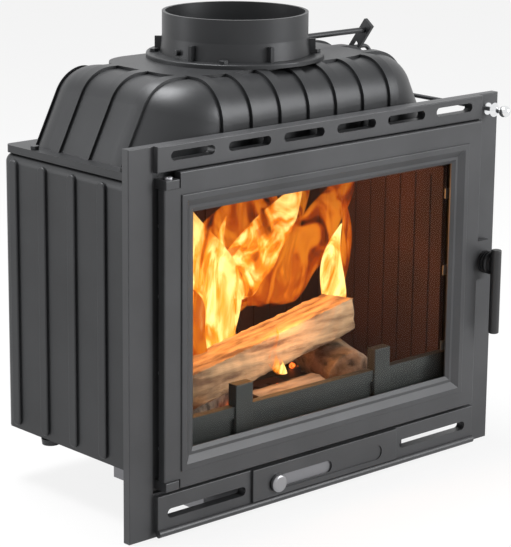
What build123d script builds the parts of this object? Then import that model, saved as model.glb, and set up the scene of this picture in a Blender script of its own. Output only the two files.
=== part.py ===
from build123d import *
import math
import os

os.makedirs("parts", exist_ok=True)

# Cast iron fireplace insert: ribbed casing, domed hood, glazed door, flue damper and air slide.
# Lengths are in millimetres. The origin is the centre of the four stand studs' holes, on the
# underside of the hearth base. +X is right seen from the front, +Y into the insert, +Z up.

# Clearances
run = 0.3  # between pieces that move past each other
shaft_fit = 0.05  # radial, round a turning shaft
sink = 0.02  # radial, round a pin that stays put

# Front frame
face_w = 670.0
face_h = 509.0
face_drop = 72.0  # the frame hangs this far below the hearth base
face_t = 6.0
edge_w = 6.0
edge_d = 12.0
setback = 140.0  # stud holes' centre to the frame's front face

# Door
door_w = 578.0
door_h = 412.0
door_rise = 63.0  # lower edge above the frame's lower edge
door_proud = 14.0
door_t = 12.0
door_gap = 8.0  # dark joint at each side of the door
view_w = 472.0  # clear opening in front of the glass
view_h = 308.0
view_rise = 112.0
glass_t = 4.0
glass_lap = 8.0
tape_t = 1.3
rope_w = 9.0
rope_side = 17.0  # door edge to the rope's outer edge
rope_end = 25.0
moulding_w = 26.0

# Hinge
hinge_in = 11.0  # door edge to hinge axis
pin_r = 3.0
pin_reach = 24.0
lug_w = 22.0
lug_h = 12.0
lug_proud = 17.0
upper_lug_drop = 20.0  # door top edge to the upper lug's underside

# Vents and lower band
panel_proud = 8.0
panel_w = 590.0
vent_l = 72.0
vent_h = 12.0
vent_pitch = 95.0
vent_drop = 14.0  # frame's top edge to the slots' centre line
band_z = 9.0
band_h = 48.0
air_slot_l = 134.0
air_slot_x = 212.0
air_slot_h = 12.5
lip_r = 5.0
cover_w = 270.0
cover_t = 4.0
track_h = 28.0
track_depth = 4.0
knob_slot_h = 17.0
knob_travel = 92.0
knob_x = -92.0
knob_r = 12.5
stem_r = 8.0
window_w = 60.0
window_x = 79.0

# Casing
body_w = 590.0
body_d = 303.0
body_h = 379.0
base_lip = 4.0
wall_t = 8.0
wall_turn = 30.0
wall_round = 15.0
rib_w = 16.0
rib_h = 4.0
rib_pitch = 62.0
side_ribs = 5
base_t = 12.0
stud_x = 560.0
stud_y = 190.0
stud_hole_r = 5.0
boss_r = 13.0
boss_h = 8.0

# Hood
hood_flange_t = 10.0
hood_flange_in = 3.0
foot_w = 552.0
foot_front = 16.0
hood_h = 101.0
hood_slope = 56.0  # how far each side leans in over the height
hood_wall = 6.0
hood_round = 52.0
front_corner = 92.0
back_corner = 54.0
front_rib_pitch = 50.5
front_ribs = 7
pad_w = 350.0
pad_front = 66.0  # casing front to the collar pad's front
pad_h = 4.0
pad_round = 60.0

# Flue collar and damper
flue_y = 41.0
collar_r = 99.3
collar_wall = 4.5
collar_h = 62.0
collar_foot_r = 121.0
collar_foot_t = 6.0
band_len = 32.0
spindle_rise = 14.0  # above the collar's foot
spindle_r = 4.0
plate_gap = 3.5
plate_t = 3.0
crank_x = 247.0
crank_t = 5.0
crank_w = 18.0
crank_tail = 14.0
crank_reach = 41.0
link_drop = 27.0  # spindle to the rod's end, straight down
link_back = 20.0
link_slack = 1.5  # round the rod in the crank's slot
rod_x = 313.0
rod_drop = 21.5  # below the frame's upper edge
rod_r = 3.0
ball_r = 8.4
ball_out = 33.0

# Latch
latch_x = 303.0
latch_rise = 2.0  # above the door's middle
latch_r = 5.0
bush_r = 8.0
ear_h = 56.0
ear_w = 28.0
finger_l = 22.0
finger_w = 8.0
cam_t = 3.7
bar_r = 7.5
bar_l = 122.0
bar_out = 36.0

# Inside
liner_t = 8.0
liner_h = 318.0
liner_gap = 2.0
grate_w = 230.0
grate_d = 160.0
grate_t = 10.0
baffle_t = 12.0
baffle_d = 190.0
guard_w = 524.0
guard_h = 56.0
guard_t = 8.0
post_w = 30.0
post_h = 86.0
post_x = 129.0
box_w = 374.0
box_d = 188.0
box_t = 3.0
duct_w = 230.0
duct_len = 16.0
pan_w = 206.0
pan_d = 140.0
pan_h = 46.0
pan_t = 2.0

# Places that follow from the sizes
face_y = -setback
seat_y = face_y + face_t
body_y = face_y + edge_d
back_y = body_y + body_d
bottom_z = -face_drop
top_z = bottom_z + face_h
door_z = bottom_z + door_rise
door_mid = door_z + door_h / 2
door_top = door_z + door_h
door_front = face_y - door_proud
door_back = door_front + door_t
hinge_x = -door_w / 2 + hinge_in
hinge_y = door_front + door_t / 2
view_mid = bottom_z + view_rise + view_h / 2
wall_x = body_w / 2
wall_z = base_lip
wall_top = wall_z + body_h
hood_z = wall_top + hood_flange_t
hood_top = hood_z + hood_h
pad_top = hood_top + pad_h
spindle_z = pad_top + spindle_rise
rod_z = top_z - rod_drop
latch_z = door_mid + latch_rise
first_rib = back_y - 28.0
band_mid = bottom_z + band_z + band_h / 2
floor_z = base_t
upper_lug = door_top - upper_lug_drop
lower_lug = door_z + 1.0


def facing(y):
    """Plane square to Y at y: X to the right, Z up, positive extrusion towards the front."""
    return Plane.XZ.offset(-y)


def level(z):
    return Plane.XY.offset(z)


def across(x):
    return Plane.YZ.offset(x)


# Front frame casting
recess_w = door_w + 2 * door_gap
recess_z = door_z - 3.0
recess_h = door_h + 4.0
panel_z = recess_z + recess_h
panel_h = top_z - panel_z
seat_w = recess_w + 16.0
seat_open_w = door_w - 2 * 30.0
seat_open_h = door_h - 2 * 37.0
track_y = face_y - panel_proud + track_depth
notch_l = finger_l + 13.0
notch_mid = latch_z - 10.5 + notch_l / 2
vent_places = [((i - 2.5) * vent_pitch, top_z - vent_drop) for i in range(6)]
guide_r = 8.5
screw_x = wall_x - wall_t / 2 - 14.0
frame_screw_z = [wall_z + 40.0, wall_z + 140.0, wall_z + 240.0, wall_z + 330.0]
frame_screw_places = [(s * screw_x, z) for s in (-1, 1) for z in frame_screw_z]

with BuildPart() as front_frame:
    with BuildSketch(facing(face_y)):
        with Locations((0, bottom_z + face_h / 2)):
            Rectangle(face_w, face_h)
    extrude(amount=-face_t)
    with BuildSketch(facing(seat_y)):
        with Locations((0, bottom_z + face_h / 2)):
            Rectangle(face_w, face_h)
            Rectangle(face_w - 2 * edge_w, face_h - 2 * edge_w, mode=Mode.SUBTRACT)
    extrude(amount=face_t - edge_d)
    fillet(front_frame.faces().sort_by(Axis.Y)[0].edges(), 1.2)
    # Raised vent panel, and the band below the door
    with BuildSketch(facing(face_y)):
        with Locations((0, panel_z + panel_h / 2)):
            Rectangle(panel_w, panel_h)
        with Locations((0, band_mid)):
            Rectangle(panel_w, band_h)
    extrude(amount=panel_proud)
    fillet(front_frame.faces().sort_by(Axis.Y)[:2].edges(), 1.2)
    # Door recess, and the seat that the door's rope closes on
    with BuildSketch(facing(face_y)):
        with Locations((0, recess_z + recess_h / 2)):
            Rectangle(recess_w, recess_h)
    extrude(amount=-face_t, mode=Mode.SUBTRACT)
    with BuildSketch(facing(seat_y)):
        with Locations((0, door_mid)):
            Rectangle(seat_w, door_h + 20.0)
            Rectangle(seat_open_w, seat_open_h, mode=Mode.SUBTRACT)
    extrude(amount=face_t - edge_d)
    # Vent slots, convection slots and the slide's track
    with BuildSketch(facing(face_y - panel_proud)):
        with Locations(*vent_places):
            SlotOverall(vent_l, vent_h)
        with Locations((-air_slot_x, band_mid - 2.0), (air_slot_x, band_mid - 2.0)):
            SlotOverall(air_slot_l, air_slot_h)
    extrude(amount=-(panel_proud + edge_d), mode=Mode.SUBTRACT)
    with BuildSketch(facing(face_y - panel_proud)):
        with Locations((0, band_mid - 2.0)):
            Rectangle(cover_w - 2.0, track_h)
    extrude(amount=-track_depth, mode=Mode.SUBTRACT)
    with BuildSketch(facing(track_y)):
        with Locations((window_x, band_mid - 2.0)):
            Rectangle(window_w, track_h - 9.0)
    extrude(amount=-(panel_proud + edge_d), mode=Mode.SUBTRACT)
    # Rounded lip along the lower edge
    with BuildSketch(across(-panel_w / 2)):
        with Locations((face_y - panel_proud, bottom_z + lip_r + 2.0)):
            Circle(lip_r)
    extrude(amount=panel_w)
    # Hinge lugs
    with BuildSketch(facing(face_y - lug_proud)):
        with Locations((hinge_x, upper_lug + lug_h / 2), (hinge_x, lower_lug + lug_h / 2)):
            Rectangle(lug_w, lug_h)
    extrude(amount=-(lug_proud + face_t))
    fillet(front_frame.faces().sort_by(Axis.Y)[:2].edges(), 1.2)
    with Locations((hinge_x, hinge_y, upper_lug + lug_h / 2), (hinge_x, hinge_y, lower_lug + lug_h / 2)):
        Cylinder(pin_r + sink, lug_h, mode=Mode.SUBTRACT)
    # Opening that the latch finger passes, and the guide hole for the damper rod
    with BuildSketch(facing(face_y)):
        with Locations((latch_x, notch_mid)):
            Rectangle(2 * (bush_r + 2.0), notch_l)
        with Locations((rod_x, rod_z)):
            Circle(guide_r)
    extrude(amount=-edge_d, mode=Mode.SUBTRACT)
    # Countersunk holes for the screws into the casing
    with Locations(*[facing(seat_y).location * Location((x, z, 0)) for x, z in frame_screw_places]):
        CounterSinkHole(3.1, 6.0, depth=edge_d)
front_frame.part.label = "front_frame"
export_step(front_frame.part, "parts/front_frame.step")


# Casing walls: each side wall is a ribbed casting that turns round the rear corner
rib_places = [first_rib - i * rib_pitch for i in range(side_ribs)]
bolt_r = 3.0
bolt_hole_r = bolt_r + 0.1
hood_bolt_x = wall_x - 11.0
hood_bolt_y = [rib_places[1] + rib_pitch / 2, rib_places[4] + rib_pitch / 2]
hood_bolt_places = [(s * hood_bolt_x, y) for s in (-1, 1) for y in hood_bolt_y]
wall_mid_y = (body_y + back_y) / 2
rib_l = body_h - 12.0

with BuildPart() as left_wall:
    with BuildSketch(level(wall_z)):
        with Locations((-wall_x + wall_t / 2, wall_mid_y)):
            Rectangle(wall_t, body_d)
        with Locations((-wall_x + wall_turn / 2, back_y - wall_t / 2)):
            Rectangle(wall_turn, wall_t)
        with Locations((-wall_x + wall_turn / 2, body_y + wall_t / 2)):
            Rectangle(wall_turn, wall_t)
    extrude(amount=body_h)
    with BuildSketch(level(wall_top)):
        with Locations((-wall_x + wall_turn / 2, wall_mid_y)):
            Rectangle(wall_turn, body_d)
    extrude(amount=-wall_t)
    fillet(left_wall.edges().filter_by(Axis.Z).group_by(Axis.X)[0].sort_by(Axis.Y)[-1], wall_round)
    fillet(left_wall.faces().sort_by(Axis.Z)[-1].edges().group_by(Axis.X)[0], wall_round - 2.0)
    with BuildSketch(across(-wall_x + 1.0)):
        with Locations(*[(y, wall_z + rib_l / 2 + 5.0) for y in rib_places]):
            SlotOverall(rib_l, rib_w, rotation=90)
    extrude(amount=-(rib_h + 1.0))
    fillet(left_wall.faces().sort_by(Axis.X)[:side_ribs].edges(), 2.0)
    with BuildSketch(facing(body_y)):
        with Locations(*[(-screw_x, z) for z in frame_screw_z]):
            Circle(bolt_hole_r)
    extrude(amount=-wall_t, mode=Mode.SUBTRACT)
    with BuildSketch(level(wall_top)):
        with Locations(*[(-hood_bolt_x, y) for y in hood_bolt_y]):
            Circle(bolt_hole_r)
    extrude(amount=-wall_t, mode=Mode.SUBTRACT)
left_wall.part.label = "left_wall"
export_step(left_wall.part, "parts/left_wall.step")

with BuildPart() as right_wall:
    mirror(left_wall.part, about=Plane.YZ)
right_wall.part.label = "right_wall"
export_step(right_wall.part, "parts/right_wall.step")

back_w = body_w - 2 * wall_turn
back_rib_x = [(i - 3.5) * rib_pitch for i in range(8)]
with BuildPart() as back_wall:
    with BuildSketch(facing(back_y - wall_t)):
        with Locations((0, wall_z + body_h / 2)):
            Rectangle(back_w, body_h)
    extrude(amount=-wall_t)
    with BuildSketch(level(wall_top)):
        with Locations((0, back_y - wall_turn / 2)):
            Rectangle(back_w, wall_turn)
    extrude(amount=-wall_t)
    with BuildSketch(facing(back_y - 1.0)):
        with Locations(*[(x, wall_z + rib_l / 2 + 5.0) for x in back_rib_x]):
            SlotOverall(rib_l, rib_w, rotation=90)
    extrude(amount=-(rib_h + 1.0))
    fillet(back_wall.faces().sort_by(Axis.Y)[-8:].edges(), 2.0)
back_wall.part.label = "back_wall"
export_step(back_wall.part, "parts/back_wall.step")

# Hearth base, with a rebate for the grate and a boss for each stand stud
boss_places = [(x, y) for x in (-stud_x / 2, stud_x / 2) for y in (-stud_y / 2, stud_y / 2)]
tray_w = body_w - 2 * wall_t - 1.0
tray_d = body_d - 2 * wall_t - 1.0
with BuildPart() as hearth_base:
    with BuildSketch(level(0)):
        with Locations((0, wall_mid_y)):
            Rectangle(body_w - 12.0, body_d - 6.0)
    extrude(amount=base_lip)
    with BuildSketch(level(base_lip)):
        with Locations((0, wall_mid_y)):
            Rectangle(tray_w, tray_d)
    extrude(amount=base_t - base_lip)
    with BuildSketch(level(0)):
        with Locations(*boss_places):
            Circle(boss_r)
    extrude(amount=-boss_h, taper=8)
    with BuildSketch(level(base_t)):
        Rectangle(grate_w + 2.0, grate_d + 2.0)
    extrude(amount=2.0 - base_t, mode=Mode.SUBTRACT)
    with BuildSketch(level(base_t)):
        Rectangle(grate_w - 16.0, grate_d - 16.0)
    extrude(amount=-base_t, mode=Mode.SUBTRACT)
    with Locations(*[level(-boss_h).location * Location((x, y, 0)) for x, y in boss_places]):
        Cylinder(stud_hole_r, 2 * (boss_h + base_lip - 1.0), mode=Mode.SUBTRACT)
hearth_base.part.label = "hearth_base"
export_step(hearth_base.part, "parts/hearth_base.step")

# Grate, with a lip all round and nine slots
with BuildPart() as grate:
    with BuildSketch(level(2.0)):
        Rectangle(grate_w, grate_d)
        with GridLocations(24.0, 0, 8, 1):
            SlotOverall(grate_d - 40.0, 9.0, rotation=90, mode=Mode.SUBTRACT)
    extrude(amount=grate_t)
    fillet(grate.faces().sort_by(Axis.Z)[-1].edges(), 1.0)
grate.part.label = "grate"
export_step(grate.part, "parts/grate.step")


def hood_block(grow):
    """Domed block of the hood, each side moved out by grow, with its open foot at the flange."""
    front = body_y + foot_front - grow
    back = back_y - 14.0 + grow
    lean = hood_slope * (hood_h + grow) / hood_h
    with BuildPart() as block:
        with BuildSketch(level(wall_top)) as foot:
            with Locations((0, (front + back) / 2)):
                Rectangle(foot_w + 2 * grow, back - front)
            fillet(foot.vertices().group_by(Axis.Y)[-1], back_corner + grow)
            fillet(foot.vertices().group_by(Axis.Y)[0], front_corner + grow)
        with BuildSketch(level(hood_top + grow)) as crown:
            with Locations((0, (front + back) / 2)):
                Rectangle(foot_w + 2 * grow - 2 * lean, back - front)
            fillet(crown.vertices().group_by(Axis.Y)[-1], back_corner + grow)
            fillet(crown.vertices().group_by(Axis.Y)[0], front_corner + grow)
        loft(ruled=True)
        fillet(block.faces().sort_by(Axis.Z)[-1].edges(), hood_round + grow)
    return block.part


dome = hood_block(0)
dome_inside = hood_block(-hood_wall)
dome_ribs = hood_block(rib_h)
front_rib_x = [(i - front_ribs // 2) * front_rib_pitch for i in range(front_ribs)]

with BuildPart() as ribs:
    with BuildSketch(level(wall_top)):
        with Locations(*[(s * (foot_w / 2 - 40.0), y) for s in (-1, 1) for y in rib_places[:4]]):
            Rectangle(150.0, rib_w)
        with Locations(*[(x, body_y + foot_front + 50.0) for x in front_rib_x]):
            Rectangle(rib_w, 110.0)
    extrude(amount=hood_h + 20.0)
    add(dome_ribs, mode=Mode.INTERSECT)

with BuildPart() as hood:
    add(dome)
    add(ribs.part)
    # Pad under the flue collar
    with BuildSketch(level(hood_top - 30.0)):
        with Locations((0, (body_y + pad_front + back_y - 40.0) / 2)):
            RectangleRounded(pad_w, back_y - 40.0 - body_y - pad_front, pad_round)
    extrude(amount=30.0 + pad_h)
    # Flange that sits on the walls
    with BuildSketch(level(wall_top)):
        with Locations((0, wall_mid_y)):
            RectangleRounded(body_w - 2 * hood_flange_in, body_d - 2 * hood_flange_in, 10.0)
    extrude(amount=hood_flange_t)
    add(dome_inside, mode=Mode.SUBTRACT)
    with BuildSketch(level(wall_top)):
        with Locations(*hood_bolt_places):
            Circle(bolt_hole_r)
    extrude(amount=hood_flange_t, mode=Mode.SUBTRACT)
    with Locations((0, flue_y, hood_top)):
        Cylinder(collar_r - collar_wall, 80.0, mode=Mode.SUBTRACT)
hood.part.label = "hood"
export_step(hood.part, "parts/hood.step")


def screws(places, plane, shank_r, shank_l, head_r, head_t, sides=0):
    """Group of like screws at the places on a plane; sides gives the head's flats."""
    with BuildPart() as group:
        with BuildSketch(plane):
            with Locations(*places):
                if sides:
                    RegularPolygon(head_r, sides)
                else:
                    Circle(head_r)
        extrude(amount=head_t)
        fillet(group.faces().filter_by(plane).edges(), 0.4)
        with BuildSketch(plane):
            with Locations(*places):
                Circle(shank_r)
        extrude(amount=-shank_l)
    return group.part


# Flue collar, tapered a little towards its foot, with gussets and four bolt holes
collar_bolt_x = 84.0
collar_bolt_y = 71.0
collar_bolt_places = [(s * collar_bolt_x, flue_y + t * collar_bolt_y) for s in (-1, 1) for t in (-1, 1)]
spindle_hole = spindle_r + shaft_fit
gusset_h = collar_h - band_len - collar_foot_t - 4.0
with BuildPart() as flue_collar:
    with BuildSketch(level(pad_top)):
        with Locations((0, flue_y)):
            Circle(collar_foot_r)
    extrude(amount=collar_foot_t)
    fillet(flue_collar.faces().sort_by(Axis.Z)[-1].edges(), 1.5)
    with BuildSketch(level(pad_top)):
        with Locations((0, flue_y)):
            Circle(collar_r + 3.0)
    with BuildSketch(level(pad_top + collar_h - band_len)):
        with Locations((0, flue_y)):
            Circle(collar_r)
    loft()
    with BuildSketch(level(pad_top + collar_h - band_len)):
        with Locations((0, flue_y)):
            Circle(collar_r)
    extrude(amount=band_len)
    with BuildSketch(level(pad_top + collar_foot_t)):
        with Locations((0, flue_y)):
            with PolarLocations(collar_r + 4.0, 6, start_angle=15):
                Rectangle(12.0, 5.0)
    extrude(amount=gusset_h)
    with BuildSketch(level(pad_top)):
        with Locations((0, flue_y)):
            Circle(collar_r - collar_wall)
    extrude(amount=collar_h, mode=Mode.SUBTRACT)
    with BuildSketch(across(-collar_r - 20.0)):
        with Locations((flue_y, spindle_z)):
            Circle(spindle_hole)
    extrude(amount=2 * collar_r + 40.0, mode=Mode.SUBTRACT)
    with BuildSketch(level(pad_top)):
        with Locations(*collar_bolt_places):
            Circle(bolt_hole_r)
    extrude(amount=collar_foot_t, mode=Mode.SUBTRACT)
flue_collar.part.label = "flue_collar"
export_step(flue_collar.part, "parts/flue_collar.step")

with BuildPart() as collar_bolts:
    add(screws(collar_bolt_places, level(pad_top + collar_foot_t), bolt_r, collar_foot_t, 6.5, 4.5, 6))
collar_bolts.part.label = "collar_bolts"
export_step(collar_bolts.part, "parts/collar_bolts.step")

with BuildPart() as hood_bolts:
    add(screws(hood_bolt_places, level(hood_z), bolt_r, hood_flange_t + wall_t - 2.0, 6.0, 5.0, 6))
hood_bolts.part.label = "hood_bolts"
export_step(hood_bolts.part, "parts/hood_bolts.step")

# Damper plate on its spindle, level at rest
plate_r = collar_r - collar_wall - plate_gap
with BuildPart() as damper_plate:
    with BuildSketch(level(spindle_z + spindle_r)):
        with Locations((0, flue_y)):
            Circle(plate_r)
            with GridLocations(60.0, 0, 2, 1):
                Circle(2.1 + sink, mode=Mode.SUBTRACT)
            with Locations((0, 45.0)):
                Circle(9.0, mode=Mode.SUBTRACT)
    extrude(amount=plate_t)
damper_plate.part.label = "damper_plate"
export_step(damper_plate.part, "parts/damper_plate.step")

plate_screw_at = [(-30.0, flue_y), (30.0, flue_y)]
with BuildPart() as damper_screws:
    add(screws(plate_screw_at, level(spindle_z + spindle_r + plate_t), 2.1, plate_t, 4.0, 2.5))
damper_screws.part.label = "damper_screws"
export_step(damper_screws.part, "parts/damper_screws.step")

spindle_start = -collar_r - 8.0
with BuildPart() as damper_spindle:
    with BuildSketch(across(spindle_start)):
        with Locations((flue_y, spindle_z)):
            Circle(spindle_r)
    extrude(amount=crank_x + crank_t - spindle_start)
    fillet(damper_spindle.edges().filter_by(GeomType.CIRCLE), 0.6)
    with BuildSketch(across(crank_x + crank_t)):
        with Locations((flue_y, spindle_z)):
            Circle(2.1)
    extrude(amount=-12.0, mode=Mode.SUBTRACT)
damper_spindle.part.label = "damper_spindle"
export_step(damper_spindle.part, "parts/damper_spindle.step")

# Crank on the spindle's end, leaning back and down, with an oversize slot for the rod
crank_lean = math.degrees(math.atan2(link_back, link_drop))
link_near = link_drop - rod_r - 1.0
link_far = math.hypot(link_back, link_drop) + rod_r + 1.0
crank_dir = (0, math.sin(math.radians(crank_lean)), -math.cos(math.radians(crank_lean)))
crank_plane = Plane(origin=(crank_x, flue_y, spindle_z), x_dir=crank_dir, z_dir=(1, 0, 0))
with BuildPart() as damper_crank:
    with BuildSketch(crank_plane):
        with Locations(((crank_reach - crank_tail) / 2, 0)):
            Rectangle(crank_reach + crank_tail, crank_w)
        Circle(spindle_r, mode=Mode.SUBTRACT)
        with Locations(((link_near + link_far) / 2, 0)):
            SlotOverall(link_far - link_near, 2 * (rod_r + link_slack), mode=Mode.SUBTRACT)
    extrude(amount=crank_t)
    fillet(damper_crank.edges().filter_by(Axis.X).group_by(Axis.Z)[-1], 1.0)
damper_crank.part.label = "damper_crank"
export_step(damper_crank.part, "parts/damper_crank.step")

with BuildPart() as crank_bolt:
    add(screws([(flue_y, spindle_z)], across(crank_x + crank_t), 2.1, 10.0, 7.0, 3.5, 6))
crank_bolt.part.label = "crank_bolt"
export_step(crank_bolt.part, "parts/crank_bolt.step")

# Damper rod: straight through the front, then bent up and in to the crank
link_y = flue_y + link_back
link_z = spindle_z - link_drop
with BuildPart() as damper_rod:
    with BuildLine():
        FilletPolyline((rod_x, face_y - ball_out + 6.0, rod_z), (rod_x, link_y - 24.0, rod_z),
                       (rod_x - 40.0, link_y, link_z), (crank_x - 2.0, link_y, link_z), radius=10.0)
    with BuildSketch(facing(face_y - ball_out + 6.0)):
        with Locations((rod_x, rod_z)):
            Circle(rod_r)
    sweep()
damper_rod.part.label = "damper_rod"
export_step(damper_rod.part, "parts/damper_rod.step")


# Ball knob with its collar on the rod's front end, and the rod's guide in the frame
ball_y = face_y - ball_out
with BuildPart() as ball_knob:
    with Locations((rod_x, ball_y, rod_z)):
        Sphere(ball_r)
    with BuildSketch(facing(ball_y)):
        with Locations((rod_x, rod_z)):
            Circle(4.0)
    extrude(amount=-(ball_out - 9.0))
    with BuildSketch(facing(face_y - 14.0)):
        with Locations((rod_x, rod_z)):
            Circle(10.0)
    with BuildSketch(facing(face_y - 19.5)):
        with Locations((rod_x, rod_z)):
            Circle(4.5)
    loft()
    with BuildSketch(facing(face_y - 9.0)):
        with Locations((rod_x, rod_z)):
            Circle(rod_r)
    extrude(amount=ball_out - 9.0 - 6.0, mode=Mode.SUBTRACT)
ball_knob.part.label = "ball_knob"
export_step(ball_knob.part, "parts/ball_knob.step")

with BuildPart() as rod_guide:
    with BuildSketch(facing(face_y - 2.0)):
        with Locations((rod_x, rod_z)):
            Circle(guide_r)
            Circle(rod_r + shaft_fit, mode=Mode.SUBTRACT)
    extrude(amount=-(edge_d + 2.0))
rod_guide.part.label = "rod_guide"
export_step(rod_guide.part, "parts/rod_guide.step")

# Door casting: flat border, raised bead, then two slopes down to the glass
bead = 2.2
bead_w = 8.0
rebate_w = view_w + 2 * glass_lap + 2.0
rebate_h = view_h + 2 * glass_lap + 2.0
rope_out_w = door_w - 2 * rope_side
rope_out_h = door_h - 2 * rope_end
notch_side = hinge_in + 15.0
clip_z = [view_mid - 110.0, view_mid, view_mid + 110.0]
clip_x = rebate_w / 2 + 5.0
clip_places = [(s * clip_x, z) for s in (-1, 1) for z in clip_z]
with BuildPart() as door_frame:
    with BuildSketch(facing(door_front)):
        with Locations((0, door_mid)):
            Rectangle(door_w, door_h)
    extrude(amount=-door_t)
    fillet(door_frame.faces().sort_by(Axis.Y)[0].edges(), 2.0)
    with BuildSketch(facing(door_front)):
        with Locations((0, view_mid)):
            Rectangle(view_w + 2 * moulding_w, view_h + 2 * moulding_w)
    extrude(amount=bead)
    fillet(door_frame.faces().sort_by(Axis.Y)[0].edges(), 1.2)
    with BuildSketch(facing(door_front - bead)):
        with Locations((0, view_mid)):
            Rectangle(view_w + 2 * (moulding_w - bead_w), view_h + 2 * (moulding_w - bead_w))
    with BuildSketch(facing(door_front + 4.0)):
        with Locations((0, view_mid)):
            Rectangle(view_w + 18.0, view_h + 18.0)
    loft(ruled=True, mode=Mode.SUBTRACT)
    with BuildSketch(facing(door_front + 4.0)):
        with Locations((0, view_mid)):
            Rectangle(view_w + 10.0, view_h + 10.0)
    with BuildSketch(facing(door_front + 7.5)):
        with Locations((0, view_mid)):
            Rectangle(view_w, view_h)
    loft(ruled=True, mode=Mode.SUBTRACT)
    with BuildSketch(facing(door_front)):
        with Locations((0, view_mid)):
            Rectangle(view_w, view_h)
    extrude(amount=-door_t, mode=Mode.SUBTRACT)
    # Rebate for the glass and groove for the rope, from behind
    with BuildSketch(facing(door_back)):
        with Locations((0, view_mid)):
            Rectangle(rebate_w, rebate_h)
    extrude(amount=2.3, mode=Mode.SUBTRACT)
    with BuildSketch(facing(door_back)):
        with Locations((0, door_mid)):
            RectangleRounded(rope_out_w, rope_out_h, 14.0)
            RectangleRounded(rope_out_w - 2 * rope_w, rope_out_h - 2 * rope_w, 5.0, mode=Mode.SUBTRACT)
    extrude(amount=4.0, mode=Mode.SUBTRACT)
    # Ear that carries the latch
    with BuildSketch(facing(door_front)):
        with Locations((door_w / 2 - 6.0 + ear_w / 2, latch_z + 3.0)):
            RectangleRounded(ear_w + 12.0, ear_h, 5.0)
    extrude(amount=-door_t)
    with BuildSketch(facing(door_front)):
        with Locations((latch_x, latch_z)):
            Circle(bush_r)
    extrude(amount=-door_t, mode=Mode.SUBTRACT)
    # Corner notches round the lugs, and the hinge bores
    upper_notch = door_top - upper_lug + run
    lower_notch = lower_lug + lug_h + run - door_z
    with BuildSketch(facing(door_front - bead)):
        with Locations((-door_w / 2 + notch_side / 2, door_top - upper_notch / 2)):
            Rectangle(notch_side, upper_notch)
        with Locations((-door_w / 2 + notch_side / 2, door_z + lower_notch / 2)):
            Rectangle(notch_side, lower_notch)
    extrude(amount=-(door_t + bead), mode=Mode.SUBTRACT)
    with Locations((hinge_x, hinge_y, upper_lug), (hinge_x, hinge_y, lower_lug + lug_h)):
        Cylinder(pin_r + shaft_fit, 2 * pin_reach, mode=Mode.SUBTRACT)
    with BuildSketch(facing(door_back)):
        with Locations(*clip_places):
            Circle(1.75)
    extrude(amount=6.0, mode=Mode.SUBTRACT)
door_frame.part.label = "door_frame"
export_step(door_frame.part, "parts/door_frame.step")

tape_y = door_back - 2.3
with BuildPart() as glass_tape:
    with BuildSketch(facing(tape_y)):
        with Locations((0, view_mid)):
            Rectangle(view_w + 2 * glass_lap, view_h + 2 * glass_lap)
            Rectangle(view_w + 4.0, view_h + 4.0, mode=Mode.SUBTRACT)
    extrude(amount=-tape_t)
glass_tape.part.label = "glass_tape"
export_step(glass_tape.part, "parts/glass_tape.step")

glass_y = tape_y + tape_t
with BuildPart() as door_glass:
    with BuildSketch(facing(glass_y)):
        with Locations((0, view_mid)):
            Rectangle(view_w + 2 * glass_lap, view_h + 2 * glass_lap)
    extrude(amount=-glass_t)
    chamfer(door_glass.edges().filter_by(Axis.Y), 2.0)
door_glass.part.label = "door_glass"
export_step(door_glass.part, "parts/door_glass.step")

with BuildPart() as door_rope:
    with BuildSketch(facing(door_back - 4.0)):
        with Locations((0, door_mid)):
            RectangleRounded(rope_out_w, rope_out_h, 14.0)
            RectangleRounded(rope_out_w - 2 * rope_w, rope_out_h - 2 * rope_w, 5.0, mode=Mode.SUBTRACT)
    extrude(amount=-(seat_y - run - door_back + 4.0))
    fillet(door_rope.faces().sort_by(Axis.Y)[-1].edges(), 3.0)
door_rope.part.label = "door_rope"
export_step(door_rope.part, "parts/door_rope.step")

# Glass clips: a foot on the casting and a tongue over the glass
clip_y = glass_y + glass_t
clip_t = 1.5
with BuildPart() as glass_clips:
    with BuildSketch(facing(clip_y)):
        with Locations(*[(s * (clip_x - 5.0), z) for s in (-1, 1) for z in clip_z]):
            Rectangle(22.0, 14.0)
    extrude(amount=-clip_t)
    with BuildSketch(facing(door_back)):
        with Locations(*[(s * (clip_x + 1.0), z) for s in (-1, 1) for z in clip_z]):
            Rectangle(9.0, 14.0)
    extrude(amount=-(clip_y - door_back))
    with BuildSketch(facing(clip_y + clip_t)):
        with Locations(*clip_places):
            Circle(1.75)
    extrude(amount=12.0, mode=Mode.SUBTRACT)
glass_clips.part.label = "glass_clips"
export_step(glass_clips.part, "parts/glass_clips.step")

with BuildPart() as clip_screws:
    with BuildSketch(facing(clip_y + clip_t)):
        with Locations(*clip_places):
            Circle(3.2)
    extrude(amount=-1.6)
    with BuildSketch(facing(clip_y + clip_t)):
        with Locations(*clip_places):
            Circle(1.75)
    extrude(amount=clip_y + clip_t - door_back + 5.0)
clip_screws.part.label = "clip_screws"
export_step(clip_screws.part, "parts/clip_screws.step")

# Hinge pins, tight in the lugs and free in the door
with BuildPart() as hinge_pins:
    with BuildSketch(level(upper_lug - pin_reach + 2.0)):
        with Locations((hinge_x, hinge_y)):
            Circle(pin_r)
    extrude(amount=pin_reach - 2.0 + lug_h)
    with BuildSketch(level(upper_lug + lug_h)):
        with Locations((hinge_x, hinge_y)):
            Circle(5.5)
    extrude(amount=3.0)
    fillet(hinge_pins.faces().sort_by(Axis.Z)[-1].edges(), 1.2)
    with BuildSketch(level(lower_lug)):
        with Locations((hinge_x, hinge_y)):
            Circle(pin_r)
    extrude(amount=lug_h + pin_reach - 2.0)
hinge_pins.part.label = "hinge_pins"
export_step(hinge_pins.part, "parts/hinge_pins.step")

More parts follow.
